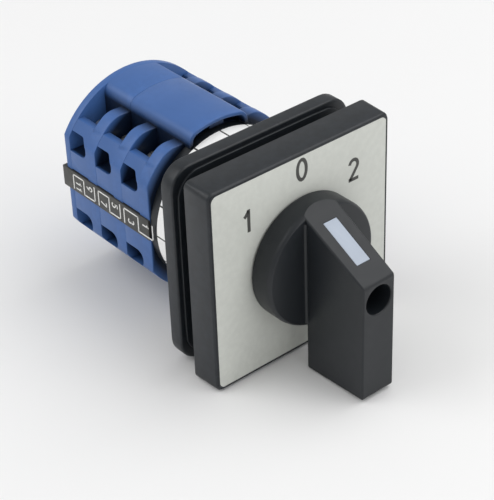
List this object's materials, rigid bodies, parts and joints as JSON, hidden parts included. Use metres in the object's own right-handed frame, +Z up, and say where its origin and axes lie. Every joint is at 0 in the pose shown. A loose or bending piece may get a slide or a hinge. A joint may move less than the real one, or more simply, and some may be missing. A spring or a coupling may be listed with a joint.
{
  "type": "manual transfer switch",
  "caption": "Panel-mounted rotary transfer switch with a lever handle, a square front plate with positions 1, 0 and 2, and blue cam-operated contact decks with screw terminals",
  "frame": {"origin": "on the shaft's axis, in the plane of the bezel's rear rim, which bears on the panel's front", "axes": "+Y runs along the shaft from the handle into the panel, +Z is up with the handle at 0, +X is to the right seen from the front"},
  "size_m": [0.048, 0.082, 0.048],
  "materials": {
    "black_plastic": "satin moulded black",
    "blue_plastic": "satin moulded blue",
    "legend_grey": "matt pale grey",
    "pointer_white": "pale insert",
    "strip_dark": "matt dark grey",
    "natural_plastic": "natural uncoloured moulding",
    "plated_steel": "zinc plated",
    "brass": "bright brass",
    "silvered_copper": "silvered copper"
  },
  "bodies": {
    "stack": {"front_bezel": "black_plastic", "legend_plate": "legend_grey", "rear_frame": "black_plastic", "mounting_screw_upper_left": "plated_steel", "mounting_screw_upper_right": "plated_steel", "mounting_screw_lower_left": "plated_steel", "mounting_screw_lower_right": "plated_steel", "detent_housing": "black_plastic", "detent_spring_upper": "plated_steel", "detent_spring_lower": "plated_steel", "deck_1": "blue_plastic", "deck_2": "blue_plastic", "deck_3": "blue_plastic", "rear_cover": "blue_plastic", "tie_bolt_left": "plated_steel", "tie_bolt_right": "plated_steel", "marker_strip_left": "strip_dark", "marker_strip_right": "strip_dark", "terminal_left_upper_1": "brass", "terminal_right_upper_1": "brass", "contact_spring_upper_1": "plated_steel", "terminal_left_lower_1": "brass", "terminal_right_lower_1": "brass", "contact_spring_lower_1": "plated_steel", "terminal_left_upper_2": "brass", "terminal_right_upper_2": "brass", "contact_spring_upper_2": "plated_steel", "terminal_left_lower_2": "brass", "terminal_right_lower_2": "brass", "contact_spring_lower_2": "plated_steel", "terminal_left_upper_3": "brass", "terminal_right_upper_3": "brass", "contact_spring_upper_3": "plated_steel", "terminal_left_lower_3": "brass", "terminal_right_lower_3": "brass", "contact_spring_lower_3": "plated_steel"},
    "rotor": {"handle": "black_plastic", "handle_pointer": "pointer_white", "handle_screw": "plated_steel", "shaft": "plated_steel", "star_wheel": "natural_plastic", "cam_1": "natural_plastic", "cam_2": "natural_plastic", "cam_3": "natural_plastic"},
    "contact_upper_1": {"plunger_upper_1": "natural_plastic", "contact_bridge_upper_1": "silvered_copper"},
    "contact_lower_1": {"plunger_lower_1": "natural_plastic", "contact_bridge_lower_1": "silvered_copper"},
    "contact_upper_2": {"plunger_upper_2": "natural_plastic", "contact_bridge_upper_2": "silvered_copper"},
    "contact_lower_2": {"plunger_lower_2": "natural_plastic", "contact_bridge_lower_2": "silvered_copper"},
    "contact_upper_3": {"plunger_upper_3": "natural_plastic", "contact_bridge_upper_3": "silvered_copper"},
    "contact_lower_3": {"plunger_lower_3": "natural_plastic", "contact_bridge_lower_3": "silvered_copper"},
    "detent_upper": {"detent_slider_upper": "natural_plastic"},
    "detent_lower": {"detent_slider_lower": "natural_plastic"}
  },
  "joints": [
    {"name": "handle_turn", "type": "hinge", "parent": "stack", "child": "rotor", "pos_m": [0, 0, 0], "axis": [0, 1, 0], "range_deg": [-45, 45]},
    {"name": "contact_upper_1_slide", "type": "slide", "parent": "stack", "child": "contact_upper_1", "axis": [0, 0, 1], "range_m": [-0.00095, 0.00095], "deforming": ["contact_spring_upper_1"]},
    {"name": "contact_lower_1_slide", "type": "slide", "parent": "stack", "child": "contact_lower_1", "axis": [0, 0, 1], "range_m": [-0.00095, 0.00095], "deforming": ["contact_spring_lower_1"]},
    {"name": "contact_upper_2_slide", "type": "slide", "parent": "stack", "child": "contact_upper_2", "axis": [0, 0, 1], "range_m": [-0.00095, 0.00095], "deforming": ["contact_spring_upper_2"]},
    {"name": "contact_lower_2_slide", "type": "slide", "parent": "stack", "child": "contact_lower_2", "axis": [0, 0, 1], "range_m": [-0.00095, 0.00095], "deforming": ["contact_spring_lower_2"]},
    {"name": "contact_upper_3_slide", "type": "slide", "parent": "stack", "child": "contact_upper_3", "axis": [0, 0, 1], "range_m": [-0.00095, 0.00095], "deforming": ["contact_spring_upper_3"]},
    {"name": "contact_lower_3_slide", "type": "slide", "parent": "stack", "child": "contact_lower_3", "axis": [0, 0, 1], "range_m": [-0.00095, 0.00095], "deforming": ["contact_spring_lower_3"]},
    {"name": "detent_upper_slide", "type": "slide", "parent": "stack", "child": "detent_upper", "axis": [0, 0, -1], "range_m": [0, 0.0012], "stiffness_N_per_m": 200, "springref_m": 0.004, "deforming": ["detent_spring_upper"]},
    {"name": "detent_lower_slide", "type": "slide", "parent": "stack", "child": "detent_lower", "axis": [0, 0, 1], "range_m": [0, 0.0012], "stiffness_N_per_m": 200, "springref_m": 0.004, "deforming": ["detent_spring_lower"]}
  ],
  "couplings": [
    {"joint": "contact_upper_1_slide", "follows": "handle_turn", "m_per_rad": 0.0012},
    {"joint": "contact_lower_1_slide", "follows": "handle_turn", "m_per_rad": 0.0012},
    {"joint": "contact_upper_2_slide", "follows": "handle_turn", "m_per_rad": 0.0012},
    {"joint": "contact_lower_2_slide", "follows": "handle_turn", "m_per_rad": 0.0012},
    {"joint": "contact_upper_3_slide", "follows": "handle_turn", "m_per_rad": 0.0012},
    {"joint": "contact_lower_3_slide", "follows": "handle_turn", "m_per_rad": 0.0012}
  ]
}
